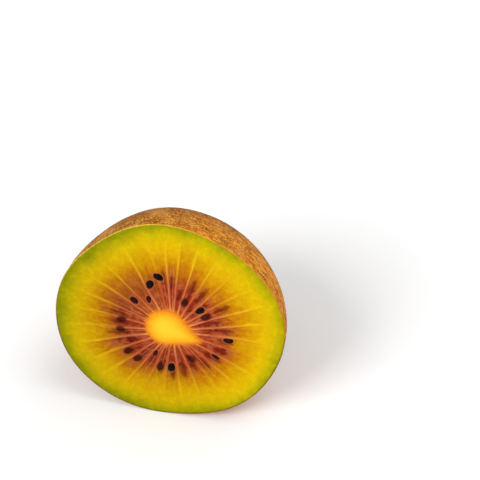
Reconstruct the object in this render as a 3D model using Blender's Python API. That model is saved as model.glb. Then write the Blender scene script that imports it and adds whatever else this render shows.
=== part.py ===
"""Half of a golden kiwi fruit with a red heart, cut across its middle and lying on its flank.

The fruit grew as one piece, so skin, flesh, core and seeds are one closed solid. The cut face looks
toward -Y and leans back. Lengths below are in millimetres and angles in degrees; the model itself
is in metres, +Z up, with the origin on the resting surface under the middle of the fruit.

The cut has a frame of its own: x to the right, y up the face, z out of it, and its origin at the
middle of the outline. A turn counts round the face in rays, so a fraction lies between two rays.
"""
import math

import bmesh
import bpy
from mathutils import Matrix, Vector

MM = 0.001

# Body of the fruit; the waves round its outline each have a count, a height and a crest's angle, and
# fade behind the cut by a power of the climb's cosine
CUT_RADIUS = 24.65
SKIN_THICKNESS = 0.45
FLESH_RADIUS = CUT_RADIUS - SKIN_THICKNESS
HALF_LENGTH = 28.0
FULLNESS = 1.95
DROOP = 2.2
OUTLINE_WAVES = ((2, 0.015, 15.0), (3, 0.013, -21.0), (4, 0.005, 14.0), (5, 0.0075, 23.0), (7, 0.0035, 1.0))
WAVES_FADE = 4

# How it lies: the middle of the cut, low enough for a flat 1.7 deep under the fruit's weight
LEAN_BACK = 17.0
FACE_MIDDLE = (-0.15, -10.0, 23.0)

# Rays of pale flesh, from the core out, which crowd together at one side
RAY_COUNT = 28
FIRST_RAY = -2.2
CROWDING = 8.5
CROWDED_AT = 113.0
CROWDED_SPREAD = 20.0
RAY_HEIGHT = 0.3
RAY_WIDTH = 0.1
POUCH_DEPTH = 0.12
RAY_RISE = 0.06
RAY_FADE = (0.55, 0.95)

# Columns of points between one ray and the next, close to the rays on the cut and even on the skin
CUT_COLUMNS = (0.0, 0.16, 0.5, 0.84)
SKIN_COLUMNS = (0.0, 0.25, 0.5, 0.75)

# Core: a drop, round at its head and drawn out to a blunt tip
HUB = Vector((0.75, -1.55))
CORE_HEAD = Vector((-0.5, -1.0))
CORE_HEAD_RADIUS = 4.6
CORE_TIP = Vector((6.3, -3.15))
CORE_TIP_RADIUS = 0.9
CORE_RISE = 0.5

# Rings across the face. A core ring has its share of the way to the core's edge, and keeps every,
# every second or every fourth column. A flesh ring has its share of the way on to the skin.
CORE_RINGS = ((0.4, 4), (0.75, 2), (0.93, 1))
FLESH_RINGS = (0.05, 0.15, 0.27, 0.39, 0.5, 0.61, 0.73, 0.86, 0.95, 1.0)
RED_ENDS = 0.5
YELLOW_ENDS = 0.86
DISH = 0.3

# Scar of the stem, at the far end
SCAR_DEPTH = 1.3
SCAR_RADIUS = 3.2
STUB_HEIGHT = 1.1
STUB_RADIUS = 1.3

# Rings of the skin: the climb from the cut, at 0, to the stem end, at 90, and the columns kept
SKIN_RINGS = (
    (2, 1), (8, 1), (15, 1), (22, 1), (29, 1), (36, 1), (43, 1), (50, 2), (57, 2),
    (64, 2), (70, 2), (75, 2), (79, 2), (82, 4), (84.5, 4), (86.5, 4), (88.5, 4),
)

# Seeds, where the photograph shows them: each lies at a turn and a distance from the hub, turned
# by some degrees from the rays, and sunk below the height at which a bare seed stands
SEED_SIZE = Vector((2.3, 1.6, 1.4))
SEED_PROUD = 0.5
SEEDS = (
    (2.5, 8.6, 0, 0.15),
    (3.5, 8.3, -8, 0.0),
    (5.6, 8.1, 5, 0.2),
    (8.95, 13.4, 45, 0.0),
    (9.75, 11.9, -45, 0.0),
    (10.45, 8.7, -30, 0.1),
    (11.6, 10.4, -5, 0.05),
    (14.15, 11.2, 15, 0.15),
    (15.2, 11.4, -10, 0.15),
    (17.4, 12.0, 5, 0.25),
    (18.4, 11.6, -10, 0.25),
    (19.3, 7.5, 15, 0.1),
    (20.4, 10.5, 0, 0.2),
    (21.4, 10.0, -10, 0.0),
    (23.75, 8.1, 10, 0.25),
    (25.8, 10.9, -5, 0.1),
    (27.7, 12.2, 8, 0.05),
)

# Tissues: name, colour and roughness of each, and their numbers as material slots
TISSUES = (
    ("kiwi_skin", (0.42, 0.24, 0.07), 0.75),
    ("kiwi_green_flesh", (0.31, 0.33, 0.01), 0.35),
    ("kiwi_yellow_flesh", (0.68, 0.50, 0.01), 0.35),
    ("kiwi_red_flesh", (0.38, 0.08, 0.02), 0.35),
    ("kiwi_core", (0.93, 0.60, 0.06), 0.45),
    ("kiwi_seed", (0.02, 0.012, 0.01), 0.25),
)
SKIN, GREEN_FLESH, YELLOW_FLESH, RED_FLESH, CORE, SEED = range(len(TISSUES))
SHARP_ANGLE = 50.0
WELD = 0.001


def smooth_step(low, high, value):
    """0 below low, 1 above high, and a smooth rise between them."""
    share = min(max((value - low) / (high - low), 0.0), 1.0)
    return share * share * (3.0 - 2.0 * share)


def ray_angle(turn):
    """Angle of the outline that a turn runs out to, in radians."""
    even = FIRST_RAY + turn * 360.0 / RAY_COUNT
    crowding = CROWDING * math.exp(-((even - CROWDED_AT) / CROWDED_SPREAD) ** 2)
    return math.radians(even - crowding)


def outline_waviness(angle):
    """How far the outline stands off a circle at an angle, as a share of its radius."""
    return sum(
        height * math.cos(count * (angle - math.radians(crest)))
        for count, height, crest in OUTLINE_WAVES
    )


def outline_point(turn, radius, waviness=1.0):
    """Point in the plane of the cut at a turn, on the outline scaled to a radius."""
    angle = ray_angle(turn)
    reach = radius * (1.0 + waviness * outline_waviness(angle))
    return Vector((math.cos(angle), math.sin(angle))) * reach


def outside_core(point):
    """Distance from a point of the face to the core's edge, negative inside the core."""
    axis = CORE_TIP - CORE_HEAD
    length = axis.length
    slope = (CORE_HEAD_RADIUS - CORE_TIP_RADIUS) / length
    side = math.sqrt(1.0 - slope * slope)
    offset = point - CORE_HEAD
    along = offset.dot(axis) / length
    across = abs(offset.cross(axis)) / length
    tangent = side * along - slope * across
    if tangent < 0.0:
        return offset.length - CORE_HEAD_RADIUS
    if tangent > side * length:
        return (point - CORE_TIP).length - CORE_TIP_RADIUS
    return side * across + slope * along - CORE_HEAD_RADIUS


def core_share(turn):
    """Share of the way from the hub to the skin at which a turn leaves the core."""
    rim = outline_point(turn, FLESH_RADIUS)
    low, high = 0.0, 1.0
    for _ in range(30):
        middle = (low + high) / 2.0
        if outside_core(HUB.lerp(rim, middle)) < 0.0:
            low = middle
        else:
            high = middle
    return low


def ray_relief(turn):
    """Height across the rays: 1 on a ray's crest, below 0 in the pouch of flesh beside it."""
    gap = abs(turn - round(turn))
    crest = math.exp(-(gap / RAY_WIDTH) ** 2)
    pouch = POUCH_DEPTH / RAY_HEIGHT * math.sin(math.pi * gap) ** 2
    return crest - pouch


def flesh_height(turn, reach):
    """Height of the cut flesh, with reach 0 at the core's edge and 1 at the skin."""
    rays = smooth_step(0.0, RAY_RISE, reach) - smooth_step(*RAY_FADE, reach)
    return RAY_HEIGHT * rays * ray_relief(turn) - DISH * math.sin(math.pi * reach)


def flesh_point(turn, reach):
    """Point of the cut flesh in the frame of the cut."""
    rim = outline_point(turn, FLESH_RADIUS)
    edge = core_share(turn)
    place = HUB.lerp(rim, edge + reach * (1.0 - edge))
    return Vector((*place, flesh_height(turn, reach)))


def core_point(turn, share):
    """Point of the core's low dome, with share 0 at the hub and 1 at the core's edge."""
    rim = outline_point(turn, FLESH_RADIUS)
    place = HUB.lerp(rim, core_share(turn) * share)
    return Vector((*place, CORE_RISE * (1.0 - share ** 4)))


def skin_point(turn, climb):
    """Point of the skin, with climb 0 at the cut and 90 at the stem's scar."""
    sine = math.sin(math.radians(climb))
    cosine = max(math.cos(math.radians(climb)), 0.0)
    radius = CUT_RADIUS * cosine ** (2.0 / FULLNESS)
    place = outline_point(turn, radius, cosine ** WAVES_FADE)
    scar = SCAR_DEPTH * math.exp(-(radius / SCAR_RADIUS) ** 2)
    stub = STUB_HEIGHT * math.exp(-(radius / STUB_RADIUS) ** 2)
    depth = HALF_LENGTH * sine ** (2.0 / FULLNESS) - scar + stub
    return Vector((place.x, place.y - DROOP * sine * sine, -depth))


def to_world():
    """Matrix from the frame of the cut, in millimetres, to the model's frame, in metres."""
    tilt = Matrix.Rotation(math.radians(90.0 - LEAN_BACK), 4, "X")
    return Matrix.Scale(MM, 4) @ Matrix.Translation(FACE_MIDDLE) @ tilt


def ring(shape, point_at, place, keep=1, columns=CUT_COLUMNS):
    """Add a ring of points at a place along the profile, on every column or each keep-th one."""
    turns = [ray + offset for ray in range(RAY_COUNT) for offset in columns]
    return [shape.verts.new(point_at(turn, place)) for turn in turns[::keep]]


def bridge(shape, one, other, material):
    """Join two rings with a band of faces; one ring may have twice the other's points."""
    coarse, fine = sorted((one, other), key=len)
    step = len(fine) // len(coarse)
    for index, corner in enumerate(coarse):
        following = coarse[(index + 1) % len(coarse)]
        span = [fine[(index * step + part) % len(fine)] for part in range(step + 1)]
        face = shape.faces.new([following, corner, *span])
        face.material_index = material


def close(shape, end_ring, point, material):
    """Close a ring with a fan of triangles to one point."""
    centre = shape.verts.new(point)
    for index, corner in enumerate(end_ring):
        following = end_ring[(index + 1) % len(end_ring)]
        face = shape.faces.new([corner, following, centre])
        face.material_index = material


def flesh_material(reach):
    """Slot of the flesh that ends at a reach: red by the core, then yellow, then green."""
    if reach <= RED_ENDS:
        return RED_FLESH
    return YELLOW_FLESH if reach <= YELLOW_ENDS else GREEN_FLESH


def body_shape():
    """The fruit as one closed shape in the frame of the cut, without its seeds."""
    shape = bmesh.new()
    rings = [(ring(shape, core_point, share, keep), CORE) for share, keep in CORE_RINGS]
    rings.append((ring(shape, flesh_point, 0.0), CORE))
    rings += [(ring(shape, flesh_point, reach), flesh_material(reach)) for reach in FLESH_RINGS]
    rings.append((ring(shape, skin_point, 0.0), SKIN))
    rings += [
        (ring(shape, skin_point, climb, keep, SKIN_COLUMNS), SKIN) for climb, keep in SKIN_RINGS
    ]
    for (one, _), (other, material) in zip(rings, rings[1:]):
        bridge(shape, one, other, material)
    close(shape, rings[0][0], core_point(0.0, 0.0), CORE)
    close(shape, rings[-1][0], skin_point(0.0, 90.0), SKIN)
    bmesh.ops.recalc_face_normals(shape, faces=shape.faces)
    return shape


def seed_matrix(turn, distance, turned_by, sunk):
    """Place of a seed, most of it below the flesh."""
    direction = (outline_point(turn, FLESH_RADIUS) - HUB).normalized()
    place = HUB + direction * distance
    height = SEED_PROUD - SEED_SIZE.z / 2.0 - DISH - sunk
    along_ray = math.atan2(direction.y, direction.x)
    turned = Matrix.Rotation(along_ray + math.radians(turned_by), 4, "Z")
    return Matrix.Translation((*place, height)) @ turned @ Matrix.Diagonal(SEED_SIZE).to_4x4()


def make_material(name, colour, roughness):
    """A Principled material for one tissue of the fruit."""
    material = bpy.data.materials.new(name)
    material.use_nodes = True
    shader = material.node_tree.nodes["Principled BSDF"]
    shader.inputs["Base Color"].default_value = (*colour, 1.0)
    shader.inputs["Roughness"].default_value = roughness
    shader.inputs["Metallic"].default_value = 0.0
    material.diffuse_color = (*colour, 1.0)
    return material


def make_object(name, shape, materials):
    """Turn a shape into an object of the scene."""
    mesh = bpy.data.meshes.new(name)
    shape.to_mesh(mesh)
    shape.free()
    for material in materials:
        mesh.materials.append(material)
    created = bpy.data.objects.new(name, mesh)
    bpy.context.scene.collection.objects.link(created)
    return created


def make_seeds(material):
    """A collection with one low seed of few faces for each place in the flesh."""
    seeds = bpy.data.collections.new("seeds")
    for number, seed_place in enumerate(SEEDS):
        shape = bmesh.new()
        placed = to_world() @ seed_matrix(*seed_place)
        bmesh.ops.create_icosphere(shape, subdivisions=2, radius=0.5, matrix=placed)
        seed = make_object(f"seed_{number}", shape, [material])
        bpy.context.scene.collection.objects.unlink(seed)
        seeds.objects.link(seed)
    bpy.context.scene.collection.children.link(seeds)
    return seeds


def fuse(fruit, seeds):
    """Join the seeds to the fruit as one body, and drop their own objects."""
    union = fruit.modifiers.new("seeds", "BOOLEAN")
    union.operation = "UNION"
    union.solver = "EXACT"
    union.operand_type = "COLLECTION"
    union.collection = seeds
    union.material_mode = "TRANSFER"
    evaluated = fruit.evaluated_get(bpy.context.evaluated_depsgraph_get())
    joined = bpy.data.meshes.new_from_object(evaluated)
    fruit.modifiers.clear()
    fruit.data = joined
    for seed in list(seeds.objects):
        bpy.data.objects.remove(seed)
    bpy.data.collections.remove(seeds)


def flatten_underside(fruit):
    """Cut the fruit level along the resting surface, which leaves the flat it lies on."""
    shape = bmesh.new()
    shape.from_mesh(fruit.data)
    everything = [*shape.verts, *shape.edges, *shape.faces]
    cut = bmesh.ops.bisect_plane(
        shape, geom=everything, dist=WELD * MM, plane_co=(0, 0, 0), plane_no=(0, 0, -1), clear_outer=True
    )
    edges = [item for item in cut["geom_cut"] if isinstance(item, bmesh.types.BMEdge)]
    flat = bmesh.ops.contextual_create(shape, geom=edges)
    for face in flat["faces"]:
        face.material_index = SKIN
    bmesh.ops.recalc_face_normals(shape, faces=shape.faces)
    shape.to_mesh(fruit.data)
    shape.free()


def main():
    for old in list(bpy.data.objects):
        bpy.data.objects.remove(old)
    materials = [make_material(*tissue) for tissue in TISSUES]
    shape = body_shape()
    shape.transform(to_world())
    fruit = make_object("kiwi_half", shape, materials)
    fuse(fruit, make_seeds(materials[SEED]))
    flatten_underside(fruit)
    fruit.data.shade_smooth()
    fruit.data.set_sharp_from_angle(angle=math.radians(SHARP_ANGLE))


main()
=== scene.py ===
"""Looks of half a golden kiwi fruit with a red heart, lying on its flank with the cut face up and forward.

The cut has a frame of its own, in millimetres: x to the right, y up the face, z out of it, and its
origin at the middle of the outline. A turn counts round the face in rays, so a fraction lies between
two rays. Reach is 0 at the core's edge and 1 at the skin. Climb is 0 at the cut and 90 at the stem, and
the materials read it as 0 to 1.
"""
import math

import bpy
import numpy as np
from mathutils import Matrix, Vector, noise


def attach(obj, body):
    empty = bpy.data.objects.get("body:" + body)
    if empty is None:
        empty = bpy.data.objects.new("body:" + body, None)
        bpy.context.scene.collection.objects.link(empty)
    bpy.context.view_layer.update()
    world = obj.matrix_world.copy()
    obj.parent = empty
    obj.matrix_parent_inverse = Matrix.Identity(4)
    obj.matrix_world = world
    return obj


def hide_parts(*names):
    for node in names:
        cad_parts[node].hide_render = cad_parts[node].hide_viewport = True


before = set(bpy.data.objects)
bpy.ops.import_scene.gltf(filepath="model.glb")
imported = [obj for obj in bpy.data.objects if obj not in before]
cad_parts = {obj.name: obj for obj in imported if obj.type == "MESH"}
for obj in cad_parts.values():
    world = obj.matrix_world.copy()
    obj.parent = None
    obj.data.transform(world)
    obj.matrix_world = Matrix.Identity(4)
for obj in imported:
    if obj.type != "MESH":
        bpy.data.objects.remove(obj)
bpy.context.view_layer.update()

MM = 0.001
NODE = "kiwi_half"

# Body of the fruit, as in the solid
CUT_RADIUS = 24.65
HALF_LENGTH = 28.0
FULLNESS = 1.95
DROOP = 2.2
LEAN_BACK = 17.0
FACE_MIDDLE = (-0.15, -10.0, 23.0)

# Waves of the cut's outline: count, share of the radius and angle of a crest; they fade toward the stem
OUTLINE_WAVES = ((2, 0.015, 15.0), (3, 0.013, -21.0), (4, 0.005, 14.0), (5, 0.0075, 23.0), (7, 0.0035, 1.0))
WAVES_FADE = 4

# Core, as in the solid: a drop from a wide head to a narrow tip, a little raised, in a dished face
HUB = np.array((0.75, -1.55))
CORE_HEAD = np.array((-0.5, -1.0))
CORE_HEAD_RADIUS = 4.6
CORE_TIP = np.array((6.3, -3.15))
CORE_TIP_RADIUS = 0.9
CORE_RISE = 0.5
CORE_FLATNESS = 4
HUB_DEPTH_IN_CORE = 3.0
DISH = 0.3

# Scar of the stem, as in the solid: a hollow with a stub in its middle
SCAR_DEPTH = 1.3
SCAR_RADIUS = 3.2
STUB_HEIGHT = 1.1
STUB_RADIUS = 1.3

# Skin: how far it stays inside the solid, and its thickness and lip at the cut
INSET = 0.03
PEEL = 0.2
FLESH_RADIUS = CUT_RADIUS - INSET - PEEL
LIP_HEIGHT = 0.02
LIP_SHARES = (0.0, 0.33, 0.67)

# Dents and pebbles of the skin, from their tops inward; they fade in over a few rings from the cut
DENT_DEPTH = 0.05
DENT_SIZE = 6.0
DENT_TOP = 0.8
PEBBLE_DEPTH = 0.035
PEBBLE_SIZE = 0.75
PEBBLE_TOP = 0.9
FADE_RINGS = 3

# Point on the axis that outward is measured from, as a share of the half length
OUTWARD_FROM = 0.35

# Hidden backs of the flesh and of the skin: climbs of their rings, and gaps to the outside
HULL_CLIMBS = (1.5, 85.0)
HULL_GAP = 0.12
HULL_INWARD = 0.5
HULL_END = 1.8
LINING_CLIMBS = (87.0, 0.6)
LINING_INWARD = 0.7
LINING_END = 1.4

# Rays of pale flesh: their places round the face, as in the solid
RAY_COUNT = 28
FIRST_RAY = -2.2
CROWDING = 8.5
CROWDED_AT = 113.0
CROWDED_SPREAD = 20.0

# Rays in relief: height, least and greatest half width, and the reaches where they rise and fade
RAY_HEIGHT = 0.13
RAY_HALF_WIDTH = (0.17, 0.3)
RAY_RISE = 0.06
RAY_FADE = (0.6, 0.92)

# Sideways waves of the rays: height in rays, count round the face, shift along the reach; and where full
RAY_WAVES = ((0.02, 21.0, 9.0), (0.025, 11.0, -6.0))
RAY_WAVES_FULL = 0.4

# Smaller rays, one in each pouch: half width, share of a ray's height, and the reaches where they fade
MINOR_HALF_WIDTH = 0.11
MINOR_SHARE = 0.5
MINOR_FADE = (0.35, 0.7)

# Pouches: depth, distances from a ray where their edge lies, and fade before and past their end
POUCH_DEPTH = 0.14
POUCH_EDGE = (0.08, 0.5)
POUCH_FADE_BEFORE = 0.4
POUCH_FADE_PAST = 0.12

# Grain of the cut
GRAIN_DEPTH = 0.022
GRAIN_SIZE = 0.55

# Seeds: size, height over the face, extra girth toward the outer end, and pits
SEED_SIZE = np.array((2.4, 1.65, 1.2))
SEED_PROUD = 0.42
SEED_BLUNTNESS = 0.22
PIT_DEPTH = 0.03
PIT_SIZE = 0.22

# Sunk depth where a film of flesh covers a seed, how much slimmer that makes it, and depth where it hides
FULL_FILM = 0.1
FILM_SLIMMING = 0.2
BURIED = 0.14

# Flesh at the seeds: rim round a bare one, further off the deeper it is, and swelling over a buried one
RIM_HEIGHT = 0.1
RIM_WIDTH = 0.35
RIM_SHIFT = 2.5
SWELLING_HEIGHT = 0.22
SWELLING_EDGE = (0.5, -0.3)
FAR_OFF = 9.0

# Places of the seeds: turn, distance from the hub, degrees off the rays, and how far each is sunk
SEEDS = (
    (2.5, 8.6, 0, 0.15),
    (3.5, 8.3, -8, 0.0),
    (5.6, 8.1, 5, 0.2),
    (8.95, 13.4, 45, 0.0),
    (9.75, 11.9, -45, 0.0),
    (10.45, 8.7, -30, 0.1),
    (11.6, 10.4, -5, 0.05),
    (14.15, 11.2, 15, 0.15),
    (15.2, 11.4, -10, 0.15),
    (17.4, 12.0, 5, 0.25),
    (18.4, 11.6, -10, 0.25),
    (19.3, 7.5, 15, 0.1),
    (20.4, 10.5, 0, 0.2),
    (21.4, 10.0, -10, 0.0),
    (23.75, 8.1, 10, 0.25),
    (25.8, 10.9, -5, 0.1),
    (27.7, 12.2, 8, 0.05),
)

# Red zone: how far it reaches, most of all toward the top, and its depth, less round the dull pouch
RED_REACH = 0.4
RED_REACH_SWING = 0.035
RED_REACH_TOP = 75.0
FULL_RED = 0.97
DULL_DROP = 0.35
DULL_POUCH = 11.2
DULL_SPREAD = 2.6

# Half width of the dark clots, as a share of a pouch
CLOT_HALF_WIDTH = 0.32

# Fineness of the meshes and of the search for the core's edge, and where rings start and end
FLESH_COLUMNS_PER_RAY = 24
CORE_RINGS = 20
CORE_RINGS_FROM = 0.04
FLESH_RINGS = 100
SKIN_COLUMNS = 560
SKIN_RINGS = 140
SKIN_RINGS_TO = 89.2
SKIN_RINGS_POWER = 0.97
INNER_RINGS = 10
CORE_EDGE_STEPS = 30
SEED_COLUMNS = 40
SEED_RINGS = 24

# Camera and the photograph's frame
PHOTO_SIDE = 480
FACE_MIDDLE_PIXEL = (168.8, 324.1)
PIXEL_SIZE = 0.213
CAMERA_DISTANCE = 400.0
CAMERA_AZIMUTH = 11.5
CAMERA_ELEVATION = 50.0
SENSOR = 36.0

# Studio, in metres and watts: half the floor's side, and the place, side and power of each light
FLOOR_HALF_SIDE = 3.0
FRONT_LEFT_LIGHT = ((-0.5, -0.55, 0.75), 0.5, 6.5)
TOP_RIGHT_LIGHT = ((0.35, 0.25, 0.85), 0.7, 3.5)
LIGHTS_AIM = (0.0, 0.0, 0.02)
WORLD_STRENGTH = 0.5


def linear(code):
    """Linear colour, with alpha, of a hexadecimal sRGB colour."""
    shares = [int(code[start:start + 2], 16) / 255.0 for start in (0, 2, 4)]
    colour = [((share + 0.055) / 1.055) ** 2.4 if share > 0.04045 else share / 12.92 for share in shares]
    return (*colour, 1.0)


def smooth_step(low, high, value):
    """0 at low, 1 at high, and a smooth change between them."""
    share = np.clip((value - low) / (high - low), 0.0, 1.0)
    return share * share * (3.0 - 2.0 * share)


def ray_angle(turn):
    """Angle of the outline that a turn runs out to, in radians."""
    even = FIRST_RAY + turn * 360.0 / RAY_COUNT
    crowding = CROWDING * np.exp(-((even - CROWDED_AT) / CROWDED_SPREAD) ** 2)
    return np.radians(even - crowding)


draws = np.random.default_rng(11)


def varied(middle, spread, low=-np.inf, high=np.inf):
    """A value for each ray or pouch, drawn round a middle and kept between the limits, if any."""
    return np.clip(middle + spread * draws.standard_normal(RAY_COUNT), low, high)


# What differs from ray to ray and from pouch to pouch, drawn in this order
RAY_BRIGHTNESS = varied(0.78, 0.25, 0.3, 1.1)
RAY_WIDTHS = draws.uniform(*RAY_HALF_WIDTH, RAY_COUNT)
MINOR_PLACE = draws.uniform(0.35, 0.65, RAY_COUNT)
MINOR_BRIGHTNESS = draws.uniform(0.1, 1.0, RAY_COUNT)
POUCH_END = varied(0.79, 0.06)
POUCHES = np.arange(RAY_COUNT) + 0.5
RED_END = RED_REACH + RED_REACH_SWING * np.cos(ray_angle(POUCHES) - math.radians(RED_REACH_TOP))
RED_END += varied(0.0, 0.045, -0.06, 0.08)
RED_DEPTH = FULL_RED - DULL_DROP * np.exp(-((POUCHES - DULL_POUCH) / DULL_SPREAD) ** 2)
RED_DEPTH += varied(0.0, 0.08)
CLOT_MIDDLE = varied(0.3, 0.06, 0.18, 0.4)
CLOT_LENGTH = draws.uniform(0.1, 0.2, RAY_COUNT)


def outline_waviness(angle):
    """How far the outline stands off a circle at an angle, as a share of its radius."""
    return sum(
        height * np.cos(count * (angle - math.radians(crest)))
        for count, height, crest in OUTLINE_WAVES
    )


def outline_point(turn, radius, waviness=1.0):
    """Points in the plane of the cut at turns, on the outline scaled to a radius."""
    angle = ray_angle(turn)
    reach = radius * (1.0 + waviness * outline_waviness(angle))
    return np.stack((np.cos(angle) * reach, np.sin(angle) * reach), axis=-1)


def outside_core(points):
    """Distance from points of the face to the core's edge, negative inside the core."""
    axis = CORE_TIP - CORE_HEAD
    length = np.linalg.norm(axis)
    slope = (CORE_HEAD_RADIUS - CORE_TIP_RADIUS) / length
    side = math.sqrt(1.0 - slope * slope)
    offset = points - CORE_HEAD
    along = offset @ axis / length
    across = np.abs(offset[..., 0] * axis[1] - offset[..., 1] * axis[0]) / length
    tangent = side * along - slope * across
    near_head = np.linalg.norm(offset, axis=-1) - CORE_HEAD_RADIUS
    near_tip = np.linalg.norm(points - CORE_TIP, axis=-1) - CORE_TIP_RADIUS
    between = side * across + slope * along - CORE_HEAD_RADIUS
    return np.where(tangent < 0.0, near_head, np.where(tangent > side * length, near_tip, between))


def core_share(turn):
    """Share of the way from the hub to the skin at which turns leave the core."""
    rim = outline_point(turn, FLESH_RADIUS)
    low = np.zeros(len(turn))
    high = np.ones(len(turn))
    for _ in range(CORE_EDGE_STEPS):
        middle = (low + high) / 2.0
        inside = outside_core(HUB + middle[:, None] * (rim - HUB)) < 0.0
        low = np.where(inside, middle, low)
        high = np.where(inside, high, middle)
    return low


def seed_places():
    """Middle, turning angle and sunk depth of every seed, in the frame of the cut."""
    places = []
    for turn, distance, turned_by, sunk in SEEDS:
        rim = outline_point(np.array([turn]), FLESH_RADIUS)[0]
        direction = (rim - HUB) / np.linalg.norm(rim - HUB)
        angle = math.atan2(direction[1], direction[0]) + math.radians(turned_by)
        places.append((HUB + direction * distance, angle, sunk))
    return places


def noise_at(points, size, seed):
    """Smooth noise, about -1 to 1, at points in millimetres. Its grains have a size; each seed differs."""
    shift = Vector((seed * 17.0, seed * 5.0, seed * 11.0))
    return np.array([noise.noise(Vector(point) / size + shift) for point in points])


def to_world(points):
    """Points of the frame of the cut, in millimetres, as points of the model, in metres.

    Those below the floor are slid up along the lean of the cut, on to the flat.
    """
    tilt = Matrix.Rotation(math.radians(90.0 - LEAN_BACK), 3, "X")
    world = (points @ np.array(tilt).T + np.array(FACE_MIDDLE)) * MM
    below = np.minimum(world[..., 2], 0.0)
    world[..., 1] -= below * math.tan(math.radians(LEAN_BACK))
    world[..., 2] -= below
    return world


def closed_mesh(name, rings, first, last, attributes):
    """A closed mesh from rings of points with an end point on either side, with values at its points."""
    count, columns, _ = rings.shape
    points = np.vstack((rings.reshape(-1, 3), first, last))
    row = np.arange(columns)
    after = np.roll(row, -1)
    faces = []
    for index in range(count - 1):
        low, high = index * columns, (index + 1) * columns
        faces += np.stack((low + row, high + row, high + after, low + after), axis=-1).tolist()
    start, end = count * columns, count * columns + 1
    faces += np.stack((np.full(columns, start), row, after), axis=-1).tolist()
    outer = (count - 1) * columns
    faces += np.stack((np.full(columns, end), outer + after, outer + row), axis=-1).tolist()
    mesh = bpy.data.meshes.new(name)
    mesh.from_pydata(to_world(points).tolist(), [], faces)
    mesh.validate()
    mesh.shade_smooth()
    for label, values in attributes.items():
        values = np.asarray(values, dtype=np.float32)
        kind = "FLOAT_VECTOR" if values.ndim == 2 else "FLOAT"
        layer = mesh.attributes.new(label, kind, "POINT")
        layer.data.foreach_set("vector" if values.ndim == 2 else "value", values.ravel())
    piece = bpy.data.objects.new(name, mesh)
    bpy.context.scene.collection.objects.link(piece)
    return piece


def with_ends(values, first, last):
    """Values of rings as one list, with those of the two end points after them."""
    flat = values.reshape(-1, *values.shape[2:])
    return np.concatenate((flat, [first], [last]))


def place_piece(piece, material):
    """Give a piece its material, and let it ride on the body and stand for the solid."""
    piece.data.materials.append(material)
    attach(piece, "root")
    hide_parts(NODE)


# Flesh
def flesh_fields(turn, reach, distance):
    """Height of the cut flesh and what its colour follows, on a grid of reaches by turns."""
    circle = turn * 2.0 * math.pi / RAY_COUNT
    wander = sum(height * np.sin(count * circle + shift * reach) for height, count, shift in RAY_WAVES)
    placed = turn + wander * smooth_step(0.0, RAY_WAVES_FULL, reach)
    nearest = np.rint(placed).astype(int)
    number = np.floor(placed).astype(int)
    pouch_number = number % RAY_COUNT
    spacing = distance * np.gradient(ray_angle(turn), turn)

    gap = np.abs(placed - nearest) * spacing
    ray_number = nearest % RAY_COUNT
    ray = np.exp(-(gap / RAY_WIDTHS[ray_number]) ** 2) * RAY_BRIGHTNESS[ray_number]
    minor_gap = (placed - number - MINOR_PLACE[pouch_number]) * spacing
    minor = np.exp(-(minor_gap / MINOR_HALF_WIDTH) ** 2) * MINOR_BRIGHTNESS[pouch_number]
    minor *= smooth_step(MINOR_FADE[1], MINOR_FADE[0], reach)

    end = POUCH_END[pouch_number]
    pouch = smooth_step(*POUCH_EDGE, gap)
    pouch *= smooth_step(end + POUCH_FADE_PAST, end - POUCH_FADE_BEFORE, reach)
    fade = smooth_step(0.0, RAY_RISE, reach) - smooth_step(*RAY_FADE, reach)
    relief = (RAY_HEIGHT * np.maximum(ray, MINOR_SHARE * minor) - POUCH_DEPTH * pouch) * fade
    along_clot = (reach - CLOT_MIDDLE[pouch_number]) / CLOT_LENGTH[pouch_number]
    across_clot = (placed - number - 0.5) / CLOT_HALF_WIDTH
    clot = np.exp(-along_clot ** 2 - across_clot ** 2)
    return {
        "height": relief - DISH * np.sin(math.pi * reach),
        "ray": np.maximum(ray, minor),
        "pouch": pouch,
        "red_reach": reach * RED_REACH / RED_END[pouch_number],
        "red_depth": RED_DEPTH[pouch_number] * np.ones_like(reach),
        "clot": clot,
    }


def near_seeds(points):
    """Distance from points of the face to the nearest bare seed and to the nearest buried one.

    A bare seed that is sunk deeper counts as further off, so that its rim and its halo are fainter.
    """
    bare = np.full(points.shape[:-1], FAR_OFF)
    buried = np.full(points.shape[:-1], FAR_OFF)
    for middle, angle, sunk in seed_places():
        offset = points - middle
        along = offset[..., 0] * math.cos(angle) + offset[..., 1] * math.sin(angle)
        across = offset[..., 1] * math.cos(angle) - offset[..., 0] * math.sin(angle)
        stretched = np.hypot(along / SEED_SIZE[0], across / SEED_SIZE[1]) * 2.0
        distance = (stretched - 1.0) * SEED_SIZE[1] / 2.0
        if sunk > BURIED:
            buried = np.minimum(buried, distance)
        else:
            bare = np.minimum(bare, distance + RIM_SHIFT * sunk)
    return bare, buried


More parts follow.
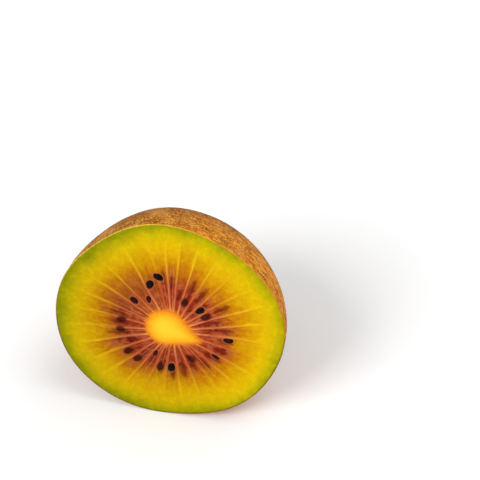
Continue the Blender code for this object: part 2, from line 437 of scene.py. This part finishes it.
def make_flesh(material):
    """The cut face in fine relief, closed behind by a plain hull that the skin covers."""
    columns = RAY_COUNT * FLESH_COLUMNS_PER_RAY
    turn = np.arange(columns) / FLESH_COLUMNS_PER_RAY
    rim = outline_point(turn, FLESH_RADIUS)
    edge = core_share(turn)
    in_core = np.linspace(CORE_RINGS_FROM, 1.0, CORE_RINGS, endpoint=False)[:, None]
    reach = np.linspace(0.0, 1.0, FLESH_RINGS)[:, None]
    share = np.vstack((in_core * edge, edge + reach * (1.0 - edge)))
    flat = HUB + share[..., None] * (rim - HUB)
    distance = np.linalg.norm(flat[CORE_RINGS:] - HUB, axis=-1)
    fields = flesh_fields(turn, reach, distance)
    core_height = CORE_RISE * (1.0 - in_core ** CORE_FLATNESS) * np.ones((1, columns))
    height = np.vstack((core_height, fields["height"]))
    bare, buried = near_seeds(flat)
    rim_round_seeds = RIM_HEIGHT * np.exp(-(bare / RIM_WIDTH) ** 2) * (bare > 0.0)
    height += rim_round_seeds + SWELLING_HEIGHT * smooth_step(*SWELLING_EDGE, buried)
    grain = noise_at(np.dstack((flat, height)).reshape(-1, 3), GRAIN_SIZE, 1)
    height += GRAIN_DEPTH * grain.reshape(height.shape)
    face = np.dstack((flat, height))

    hull = np.stack([
        skin_profile(turn, climb, FLESH_RADIUS - HULL_GAP, HULL_INWARD)
        for climb in np.linspace(*HULL_CLIMBS, INNER_RINGS)
    ])
    rings = np.vstack((face, hull))
    behind = np.zeros((INNER_RINGS, columns))

    def face_values(core_value, flesh_values, hull_value):
        """Values at the points of the core, the flesh round it and the hull behind."""
        core = np.full((CORE_RINGS, columns), core_value)
        flesh = flesh_values * np.ones((1, columns))
        return with_ends(np.vstack((core, flesh, behind + hull_value)), core_value, hull_value)

    # Place on a cylinder, so that textures stretched along it run outward from the hub like fibres
    circle = turn / RAY_COUNT * 2.0 * math.pi
    fibre = np.dstack((
        np.broadcast_to(np.cos(circle), height.shape),
        np.broadcast_to(np.sin(circle), height.shape),
        share,
    ))
    fibre = np.vstack((fibre, np.zeros((INNER_RINGS, columns, 3))))
    core_depth = np.vstack((-outside_core(flat), behind - FAR_OFF))
    attributes = {
        "place": with_ends(rings, (*HUB, CORE_RISE), (0.0, 0.0, -HALF_LENGTH)),
        "fibre": with_ends(fibre, (0.0, 0.0, 0.0), (0.0, 0.0, 0.0)),
        "reach": face_values(0.0, reach, 1.0),
        "ray": face_values(0.0, fields["ray"], 0.0),
        "pouch": face_values(0.0, fields["pouch"], 0.0),
        "red_reach": face_values(0.0, fields["red_reach"], 1.0),
        "red_depth": face_values(1.0, fields["red_depth"], 1.0),
        "clot": face_values(0.0, fields["clot"], 0.0),
        "core_depth": with_ends(core_depth, HUB_DEPTH_IN_CORE, -FAR_OFF),
        "near_bare_seed": with_ends(np.vstack((bare, behind + FAR_OFF)), FAR_OFF, FAR_OFF),
        "near_buried_seed": with_ends(np.vstack((buried, behind + FAR_OFF)), FAR_OFF, FAR_OFF),
    }
    first = np.array((*HUB, CORE_RISE))
    last = np.array((0.0, -DROOP, -HALF_LENGTH + HULL_END))
    place_piece(closed_mesh("kiwi_flesh", rings, first, last, attributes), material)


# Skin
def skin_profile(turn, climb, radius, inward=0.0):
    """Ring of the body at a climb, drawn on a cut of some radius and drawn in at the far end."""
    sine = math.sin(math.radians(climb))
    cosine = max(math.cos(math.radians(climb)), 0.0)
    girth = radius * cosine ** (2.0 / FULLNESS)
    flat = outline_point(turn, girth, cosine ** WAVES_FADE)
    scar = SCAR_DEPTH * math.exp(-(girth / SCAR_RADIUS) ** 2)
    stub = STUB_HEIGHT * math.exp(-(girth / STUB_RADIUS) ** 2)
    depth = (HALF_LENGTH - inward) * sine ** (2.0 / FULLNESS) - scar + stub
    flat[:, 1] -= DROOP * sine * sine
    return np.column_stack((flat, np.full(len(turn), -depth)))


def make_skin(material):
    """A thin closed shell over the back of the fruit, finely pebbled outside."""
    turn = np.arange(SKIN_COLUMNS) * RAY_COUNT / SKIN_COLUMNS
    climbs = np.linspace(0.0, 1.0, SKIN_RINGS) ** SKIN_RINGS_POWER * SKIN_RINGS_TO
    outer = np.stack([skin_profile(turn, climb, CUT_RADIUS - INSET) for climb in climbs])
    inner = np.stack([
        skin_profile(turn, climb, FLESH_RADIUS, LINING_INWARD)
        for climb in np.linspace(*LINING_CLIMBS, INNER_RINGS)
    ])
    across = outer[0] - inner[-1]
    lip = np.stack([inner[-1] + across * share for share in LIP_SHARES])
    lip[:, :, 2] = LIP_HEIGHT
    outward = outer - np.array((0.0, 0.0, -HALF_LENGTH * OUTWARD_FROM))
    outward /= np.linalg.norm(outward, axis=-1, keepdims=True)
    points = outer.reshape(-1, 3)
    pebbles = noise_at(points, PEBBLE_SIZE, 2).reshape(outer.shape[:2])
    dents = noise_at(points, DENT_SIZE, 3).reshape(outer.shape[:2])
    fade_in = np.clip(np.arange(SKIN_RINGS) / FADE_RINGS, 0.0, 1.0)[:, None]
    relief = fade_in * (PEBBLE_DEPTH * (pebbles - PEBBLE_TOP) + DENT_DEPTH * (dents - DENT_TOP))
    outer = outer + outward * relief[..., None]
    rings = np.vstack((inner, lip, outer))
    edge = np.zeros(rings.shape[:2])
    edge[INNER_RINGS:INNER_RINGS + len(lip) + 1] = 1.0
    ring_climbs = np.concatenate((np.zeros(INNER_RINGS + len(lip)), climbs / 90.0))
    climb = ring_climbs[:, None] * np.ones((1, SKIN_COLUMNS))

    # Place on a cylinder, so that textures stretched along it run round the fruit or up it
    circle = turn * 2.0 * math.pi / RAY_COUNT
    belt = np.dstack((np.cos(circle) * np.ones_like(climb), np.sin(circle) * np.ones_like(climb), climb))
    scar_end = np.array((0.0, -DROOP, -HALF_LENGTH + SCAR_DEPTH - STUB_HEIGHT))
    attributes = {
        "place": with_ends(rings, (0.0, 0.0, 0.0), scar_end),
        "cut_edge": with_ends(edge, 0.0, 0.0),
        "climb": with_ends(climb, 1.0, 1.0),
        "belt": with_ends(belt, (0.0, 0.0, 1.0), (0.0, 0.0, 1.0)),
    }
    first = np.array((0.0, -DROOP, -HALF_LENGTH + LINING_END))
    place_piece(closed_mesh("kiwi_skin", rings, first, scar_end, attributes), material)


# Seeds
def make_seed(number, middle, angle, sunk, material):
    """One seed: a flattened drop, blunt at its outer end, with a finely pitted coat.

    The deeper it is sunk, the more a film of flesh covers it, which makes it slimmer and maroon.
    """
    around = np.arange(SEED_COLUMNS) / SEED_COLUMNS * 2.0 * math.pi
    along = np.linspace(-1.0, 1.0, SEED_RINGS + 2)[1:-1]
    girth = np.sqrt(1.0 - along ** 2) * (1.0 + SEED_BLUNTNESS * along)
    shape = np.stack((
        np.broadcast_to(along[:, None], (SEED_RINGS, SEED_COLUMNS)),
        girth[:, None] * np.cos(around),
        girth[:, None] * np.sin(around),
    ), axis=-1)
    shape = np.vstack((shape.reshape(-1, 3), (-1.0, 0.0, 0.0), (1.0, 0.0, 0.0)))
    pits = noise_at(shape * SEED_SIZE / 2.0 + number, PIT_SIZE, 4)
    film = min(sunk / FULL_FILM, 1.0)
    slimmed = SEED_SIZE * (1.0, 1.0 - FILM_SLIMMING * film, 1.0)
    shape = shape * (1.0 + PIT_DEPTH * pits[:, None]) * slimmed / 2.0
    turned = np.array(Matrix.Rotation(angle, 3, "Z"))
    height = SEED_PROUD - SEED_SIZE[2] / 2.0 - DISH - sunk
    placed = shape @ turned.T + np.array((*middle, height))
    rings = placed[:-2].reshape(SEED_RINGS, SEED_COLUMNS, 3)
    attributes = {"place": placed, "film": np.full(len(placed), film)}
    seed = closed_mesh(f"kiwi_seed_{number + 1:02d}", rings, placed[-2], placed[-1], attributes)
    place_piece(seed, material)


def make_seeds(material):
    """The bare seeds. Those that lie deeper show only as marks in the flesh."""
    for number, (middle, angle, sunk) in enumerate(seed_places()):
        if sunk <= BURIED:
            make_seed(number, middle, angle, sunk, material)


# Shader nodes
def node(tree, kind, **settings):
    """Add a shader node with its properties set."""
    made = tree.nodes.new(kind)
    for name, value in settings.items():
        setattr(made, name, value)
    return made


def feed(tree, socket, value):
    """Link a socket to an output, or set it to a value."""
    if isinstance(value, bpy.types.NodeSocket):
        tree.links.new(value, socket)
    else:
        socket.default_value = value


def attribute(tree, name, output="Fac"):
    return node(tree, "ShaderNodeAttribute", attribute_name=name).outputs[output]


def noise_texture(tree, vector, scale, detail, roughness=0.5):
    texture = node(tree, "ShaderNodeTexNoise")
    feed(tree, texture.inputs["Vector"], vector)
    texture.inputs["Scale"].default_value = scale
    texture.inputs["Detail"].default_value = detail
    texture.inputs["Roughness"].default_value = roughness
    return texture.outputs["Fac"]


def cells(tree, vector, scale):
    """Distance from the middle of the nearest of many small cells."""
    texture = node(tree, "ShaderNodeTexVoronoi", feature="F1")
    feed(tree, texture.inputs["Vector"], vector)
    texture.inputs["Scale"].default_value = scale
    return texture.outputs["Distance"]


def scaled(tree, vector, factors):
    mapping = node(tree, "ShaderNodeMapping")
    feed(tree, mapping.inputs["Vector"], vector)
    mapping.inputs["Scale"].default_value = factors
    return mapping.outputs["Vector"]


def component(tree, vector, axis):
    split = node(tree, "ShaderNodeSeparateXYZ")
    feed(tree, split.inputs[0], vector)
    return split.outputs[axis]


def arithmetic(tree, operation, one, other, clamp=False):
    made = node(tree, "ShaderNodeMath", operation=operation, use_clamp=clamp)
    feed(tree, made.inputs[0], one)
    feed(tree, made.inputs[1], other)
    return made.outputs[0]


def product(tree, one, other):
    """Product of two shares, kept between 0 and 1."""
    return arithmetic(tree, "MULTIPLY", one, other, True)


def shifted(tree, value, noisy, amount):
    """A value moved up and down by a noise of 0 to 1, by half an amount each way."""
    swing = arithmetic(tree, "MULTIPLY", arithmetic(tree, "SUBTRACT", noisy, 0.5), amount)
    return arithmetic(tree, "ADD", value, swing)


def remap(tree, value, low, high, new_low=0.0, new_high=1.0):
    """A smooth change from one new value to the other, as a value goes from low to high."""
    made = node(tree, "ShaderNodeMapRange", interpolation_type="SMOOTHSTEP")
    feed(tree, made.inputs["Value"], value)
    feed(tree, made.inputs["From Min"], low)
    feed(tree, made.inputs["From Max"], high)
    feed(tree, made.inputs["To Min"], new_low)
    feed(tree, made.inputs["To Max"], new_high)
    return made.outputs["Result"]


def ramp(tree, value, stops):
    """Colours along a value, from pairs of a place and a colour code."""
    made = node(tree, "ShaderNodeValToRGB")
    feed(tree, made.inputs["Fac"], value)
    points = made.color_ramp.elements
    while len(points) < len(stops):
        points.new(1.0)
    for point, (place, code) in zip(points, stops):
        point.position = place
        point.color = linear(code)
    return made.outputs["Color"]


def mix(tree, share, one, other, blend="MIX"):
    """One colour blended toward another by a share. A colour is an output or a colour code."""
    made = node(tree, "ShaderNodeMix", data_type="RGBA", blend_type=blend)
    feed(tree, made.inputs["Factor"], share)
    feed(tree, made.inputs[6], linear(one) if isinstance(one, str) else one)
    feed(tree, made.inputs[7], linear(other) if isinstance(other, str) else other)
    return made.outputs[2]


def bump(tree, height, strength, distance, normal=None):
    made = node(tree, "ShaderNodeBump")
    feed(tree, made.inputs["Height"], height)
    made.inputs["Strength"].default_value = strength
    made.inputs["Distance"].default_value = distance
    if normal is not None:
        feed(tree, made.inputs["Normal"], normal)
    return made.outputs["Normal"]


def new_material(name):
    """A material with its tree and its Principled shader."""
    material = bpy.data.materials.new(name)
    material.use_nodes = True
    tree = material.node_tree
    return material, tree, tree.nodes["Principled BSDF"]


# Materials
def pale_tissue(tree, place, reach, broad_fibres):
    """Colour of the flesh between the pouches and outside them: salmon, gold, yellow and then green."""
    greener = remap(tree, component(tree, place, "X"), -20.0, 20.0, 0.03, -0.03)
    clouds = noise_texture(tree, place, 0.12, 2.0)
    along = shifted(tree, arithmetic(tree, "ADD", reach, greener), broad_fibres, 0.16)
    along = shifted(tree, along, clouds, 0.13)
    return ramp(tree, along, (
        (0.0, "cc6a2c"), (0.06, "b85430"), (0.3, "b45232"), (0.42, "be7a1c"), (0.52, "d09608"),
        (0.66, "dcae00"), (0.8, "dab800"), (0.88, "cab400"), (0.95, "aca600"), (1.0, "939600"),
    ))


def pouch_tissue(tree, place, red_reach, fine_fibres):
    """Colour inside the pouches: red brown with a long dark clot and paler patches, then brown and gold."""
    blots = noise_texture(tree, place, 0.8, 3.0, 0.6)
    patches = noise_texture(tree, place, 0.55, 2.0)
    along = shifted(tree, shifted(tree, red_reach, fine_fibres, 0.3), blots, 0.4)
    colour = ramp(tree, along, (
        (0.0, "a8401e"), (0.1, "983016"), (0.25, "963412"), (0.35, "a85014"), (0.43, "b86c0c"),
        (0.53, "c88400"), (0.68, "cea000"), (1.0, "d4ae00"),
    ))
    in_red = remap(tree, along, 0.48, 0.34)
    colour = mix(tree, product(tree, in_red, remap(tree, patches, 0.46, 0.62, 0.0, 0.6)), colour, "ba6848")
    clot = shifted(tree, shifted(tree, attribute(tree, "clot"), blots, 1.2), fine_fibres, 0.7)
    depth = attribute(tree, "red_depth")
    in_clot = remap(tree, clot, 0.34, 0.9, 0.0, 0.84)
    in_clot = product(tree, in_clot, remap(tree, depth, 0.6, 0.9, 0.25, 1.0))
    colour = mix(tree, in_clot, colour, "660706")
    colour = mix(tree, product(tree, in_red, remap(tree, blots, 0.55, 0.64, 0.0, 0.75)), colour, "5a0404")
    dull = remap(tree, depth, 1.0, 0.2, 0.0, 0.9)
    return mix(tree, product(tree, remap(tree, along, 0.6, 0.4), dull), colour, "aa6420")


def core_tissue(tree):
    """Colour of the core, orange at its edge and yellow in the middle."""
    return ramp(tree, remap(tree, attribute(tree, "core_depth"), 0.0, 4.0), (
        (0.0, "ea8a22"), (0.12, "f5a422"), (0.35, "fab828"), (0.7, "fdc830"), (1.0, "fed034"),
    ))


def flesh_material():
    material, tree, shader = new_material("kiwi_flesh_wet")
    place = attribute(tree, "place", "Vector")
    fibre = attribute(tree, "fibre", "Vector")
    reach = attribute(tree, "reach")
    fine_fibres = noise_texture(tree, scaled(tree, fibre, (24.0, 24.0, 9.0)), 1.0, 3.0, 0.6)
    broad_fibres = noise_texture(tree, scaled(tree, fibre, (7.0, 7.0, 4.0)), 1.0, 2.0)
    grain = noise_texture(tree, place, 2.6, 3.0, 0.6)
    mottle = noise_texture(tree, scaled(tree, fibre, (16.0, 16.0, 18.0)), 1.0, 4.0, 0.7)

    flesh = pale_tissue(tree, place, reach, broad_fibres)
    pouch = shifted(tree, attribute(tree, "pouch"), fine_fibres, 0.5)
    inside = pouch_tissue(tree, place, attribute(tree, "red_reach"), fine_fibres)
    flesh = mix(tree, remap(tree, pouch, 0.15, 0.85, 0.0, 0.95), flesh, inside)
    ray_colour = ramp(tree, reach, (
        (0.0, "f4aa58"), (0.07, "e28a5a"), (0.18, "d07058"), (0.3, "ce7650"), (0.45, "dc962c"),
        (0.6, "e4b41a"), (0.8, "e6c410"), (1.0, "c8bc10"),
    ))
    broken = noise_texture(tree, place, 0.5, 2.0)
    ray = shifted(tree, shifted(tree, attribute(tree, "ray"), fine_fibres, 0.6), broken, 0.5)
    ray = remap(tree, ray, 0.15, 1.0, 0.0, 0.85)
    flesh = mix(tree, product(tree, ray, remap(tree, reach, 0.95, 0.65)), flesh, ray_colour)

    # Painted shade: darker toward the lower left, standing in for the light that falls less there
    lit_toward_top = arithmetic(tree, "MULTIPLY", component(tree, place, "Y"), 0.6)
    slope = arithmetic(tree, "ADD", component(tree, place, "X"), lit_toward_top)
    flesh = mix(tree, remap(tree, slope, 14.0, -16.0, 0.0, 0.2), flesh, "504a00", "MULTIPLY")

    # Halo round the bare seeds, dark marks of the buried ones, the core, and the fine mottling of it all
    halo = remap(tree, attribute(tree, "near_bare_seed"), 0.4, 0.05, 0.0, 0.6)
    flesh = mix(tree, halo, flesh, "b5663c")
    buried = remap(tree, attribute(tree, "near_buried_seed"), 0.25, -0.3, 0.0, 0.92)
    flesh = mix(tree, buried, flesh, "33090a")
    ragged = shifted(tree, attribute(tree, "core_depth"), fine_fibres, 3.0)
    flesh = mix(tree, remap(tree, ragged, -0.5, 0.5), flesh, core_tissue(tree))
    flesh = mix(tree, remap(tree, mottle, 0.35, 0.65, 0.22, 0.0), flesh, "7a4a04", "SOFT_LIGHT")
    flesh = mix(tree, remap(tree, mottle, 0.5, 0.7, 0.0, 0.3), flesh, "f6e060", "SOFT_LIGHT")
    flesh = mix(tree, remap(tree, grain, 0.35, 0.75, 0.0, 0.3), flesh, "f2dd66", "SOFT_LIGHT")

    feed(tree, shader.inputs["Base Color"], flesh)
    feed(tree, shader.inputs["Roughness"], remap(tree, grain, 0.3, 0.7, 0.3, 0.46))
    shader.inputs["Subsurface Weight"].default_value = 0.15
    shader.inputs["Subsurface Radius"].default_value = (1.0, 0.55, 0.15)
    shader.inputs["Subsurface Scale"].default_value = 0.0008
    shader.inputs["Specular IOR Level"].default_value = 0.03
    fine = bump(tree, grain, 0.5, 0.00012)
    feed(tree, shader.inputs["Normal"], bump(tree, fine_fibres, 0.4, 0.00015, fine))
    return material


def wood_colour(tree, climb, mottle):
    """Colour of the dry scar of the stem: nearly black, with a paler broken stub in its middle."""
    return ramp(tree, shifted(tree, climb, mottle, 0.05), (
        (0.9, "1c100a"), (0.955, "2c1a0e"), (0.975, "6e4c28"), (1.0, "8e6a3c"),
    ))


def skin_material():
    material, tree, shader = new_material("kiwi_skin_speckled")
    place = attribute(tree, "place", "Vector")
    belt = attribute(tree, "belt", "Vector")
    climb = attribute(tree, "climb")
    patches = noise_texture(tree, place, 0.2, 3.0)
    mottle = noise_texture(tree, place, 0.7, 3.0, 0.6)
    specks = noise_texture(tree, place, 2.3, 4.0, 0.7)
    down = noise_texture(tree, scaled(tree, belt, (60.0, 60.0, 36.0)), 1.0, 3.0, 0.7)
    streaks = noise_texture(tree, scaled(tree, belt, (13.0, 13.0, 75.0)), 1.0, 3.0, 0.6)
    pores = cells(tree, place, 1.7)
    # Share toward the right, where painted light makes the skin brighter and more orange
    lit_cheek = remap(tree, component(tree, place, "X"), -14.0, 16.0)
    # Share toward the top, where painted light makes the cut edge paler
    lit_toward_top = remap(tree, component(tree, place, "Y"), -6.0, 14.0)

    # Brown on the left, orange and brighter on the right as painted light falling on that side, and a
    # duller brown away from the cut
    base = mix(tree, lit_cheek, "7c4a10", "d27606")
    base = mix(tree, remap(tree, patches, 0.5, 0.62, 0.0, 0.75), base, "7e460e")
    base = mix(tree, remap(tree, patches, 0.48, 0.38, 0.0, 0.5), base, "dca04c")
    base = mix(tree, remap(tree, climb, 0.1, 0.5, 0.0, 0.8), base, "60421e")
    base = mix(tree, remap(tree, mottle, 0.42, 0.62, 0.0, 0.6), base, "84480e")

    # Painted highlights as bright streaks near the cut, most of all on the lit right side, then specks,
    # down and pores all over
    painted_highlight_zone = product(tree, remap(tree, climb, 0.45, 0.1), remap(tree, lit_cheek, 0.4, 0.95, 0.15, 1.0))
    base = mix(tree, product(tree, painted_highlight_zone, remap(tree, streaks, 0.47, 0.6, 0.0, 0.9)), base, "ffa834")
    from_cut = remap(tree, climb, 0.1, 0.4)
    umber = mix(tree, from_cut, "763404", "38200a")
    gold = mix(tree, from_cut, "eca94c", "c8964c")
    base = mix(tree, remap(tree, specks, 0.48, 0.36, 0.0, 0.75), base, umber)
    base = mix(tree, remap(tree, specks, 0.52, 0.64, 0.0, 0.9), base, gold)
    base = mix(tree, remap(tree, down, 0.5, 0.7, 0.0, 0.4), base, gold)
    base = mix(tree, remap(tree, pores, 0.16, 0.05, 0.0, 0.5), base, "60340c")

    # Scar of the stem at the far end, and the edge of the skin at the cut, with painted light: pale where
    # lit at the top, dark brown where shaded at the bottom
    scar = shifted(tree, shifted(tree, climb, mottle, 0.06), specks, 0.03)
    base = mix(tree, remap(tree, scar, 0.87, 0.915, 0.0, 0.55), base, "6b4518")
    base = mix(tree, remap(tree, scar, 0.905, 0.93), base, wood_colour(tree, climb, mottle))
    lit_edge_colour = mix(tree, lit_toward_top, "6e5c14", mix(tree, lit_cheek, "f0c848", "e09430"))
    broken = product(tree, attribute(tree, "cut_edge"), remap(tree, down, 0.4, 0.6, 0.5, 0.95))
    base = mix(tree, broken, base, lit_edge_colour)

    feed(tree, shader.inputs["Base Color"], base)
    feed(tree, shader.inputs["Roughness"], remap(tree, specks, 0.3, 0.7, 0.7, 0.55))
    shader.inputs["Specular IOR Level"].default_value = 0.03
    lumps = bump(tree, specks, 0.7, 0.00015)
    feed(tree, shader.inputs["Normal"], bump(tree, mottle, 0.4, 0.0003, lumps))
    return material


def seed_material():
    material, tree, shader = new_material("kiwi_seed_glossy")
    place = attribute(tree, "place", "Vector")
    tint = noise_texture(tree, place, 1.5, 3.0)
    coat = ramp(tree, tint, ((0.3, "060202"), (0.7, "1c0806")))
    filmy = ramp(tree, tint, ((0.35, "200606"), (0.6, "480f0c")))
    feed(tree, shader.inputs["Base Color"], mix(tree, attribute(tree, "film"), coat, filmy))
    feed(tree, shader.inputs["Roughness"], remap(tree, tint, 0.3, 0.7, 0.22, 0.4))
    shader.inputs["Specular IOR Level"].default_value = 0.05
    feed(tree, shader.inputs["Normal"], bump(tree, cells(tree, place, 7.0), 0.3, 0.00005))
    return material


# Setting
def make_floor():
    """A wide, plain, pale floor."""
    far = FLOOR_HALF_SIDE
    corners = [(-far, -far, 0.0), (far, -far, 0.0), (far, far, 0.0), (-far, far, 0.0)]
    mesh = bpy.data.meshes.new("floor")
    mesh.from_pydata(corners, [], [(0, 1, 2, 3)])
    material, _, shader = new_material("floor_white")
    shader.inputs["Base Color"].default_value = (0.92, 0.92, 0.92, 1.0)
    shader.inputs["Roughness"].default_value = 0.9
    mesh.materials.append(material)
    floor = bpy.data.objects.new("floor", mesh)
    bpy.context.scene.collection.objects.link(floor)


def make_light(name, location, side, power):
    """A square soft light that faces the fruit."""
    lamp = bpy.data.lights.new(name, "AREA")
    lamp.shape = "SQUARE"
    lamp.size = side
    lamp.energy = power
    light = bpy.data.objects.new(name, lamp)
    light.location = location
    aim = Vector(LIGHTS_AIM) - Vector(location)
    light.rotation_euler = aim.to_track_quat("-Z", "Y").to_euler()
    bpy.context.scene.collection.objects.link(light)


def make_world(strength):
    """An even white light from all sides."""
    world = bpy.data.worlds.new("studio")
    world.use_nodes = True
    background = world.node_tree.nodes["Background"]
    background.inputs["Color"].default_value = (1.0, 1.0, 1.0, 1.0)
    background.inputs["Strength"].default_value = strength
    bpy.context.scene.world = world


def make_camera():
    """Camera at the photograph's angle, with the middle of the cut at its pixel of the photograph."""
    azimuth, elevation = math.radians(CAMERA_AZIMUTH), math.radians(CAMERA_ELEVATION)
    right = Vector((math.cos(azimuth), math.sin(azimuth), 0.0))
    back = Vector((
        math.sin(azimuth) * math.cos(elevation),
        -math.cos(azimuth) * math.cos(elevation),
        math.sin(elevation),
    ))
    up = back.cross(right)
    pixel_right = FACE_MIDDLE_PIXEL[0] - PHOTO_SIDE / 2.0
    pixel_down = FACE_MIDDLE_PIXEL[1] - PHOTO_SIDE / 2.0
    aim = Vector(FACE_MIDDLE) - right * pixel_right * PIXEL_SIZE + up * pixel_down * PIXEL_SIZE
    data = bpy.data.cameras.new("camera")
    data.sensor_width = SENSOR
    data.lens = CAMERA_DISTANCE / (PHOTO_SIDE * PIXEL_SIZE) * SENSOR
    camera = bpy.data.objects.new("camera", data)
    camera.location = (aim + back * CAMERA_DISTANCE) * MM
    camera.rotation_euler = (-back).to_track_quat("-Z", "Y").to_euler()
    bpy.context.scene.collection.objects.link(camera)
    bpy.context.scene.camera = camera


make_flesh(flesh_material())
make_skin(skin_material())
make_seeds(seed_material())
make_floor()
make_light("front_left", *FRONT_LEFT_LIGHT)
make_light("top_right", *TOP_RIGHT_LIGHT)
make_world(WORLD_STRENGTH)
make_camera()
bpy.context.scene.view_settings.view_transform = "Standard"
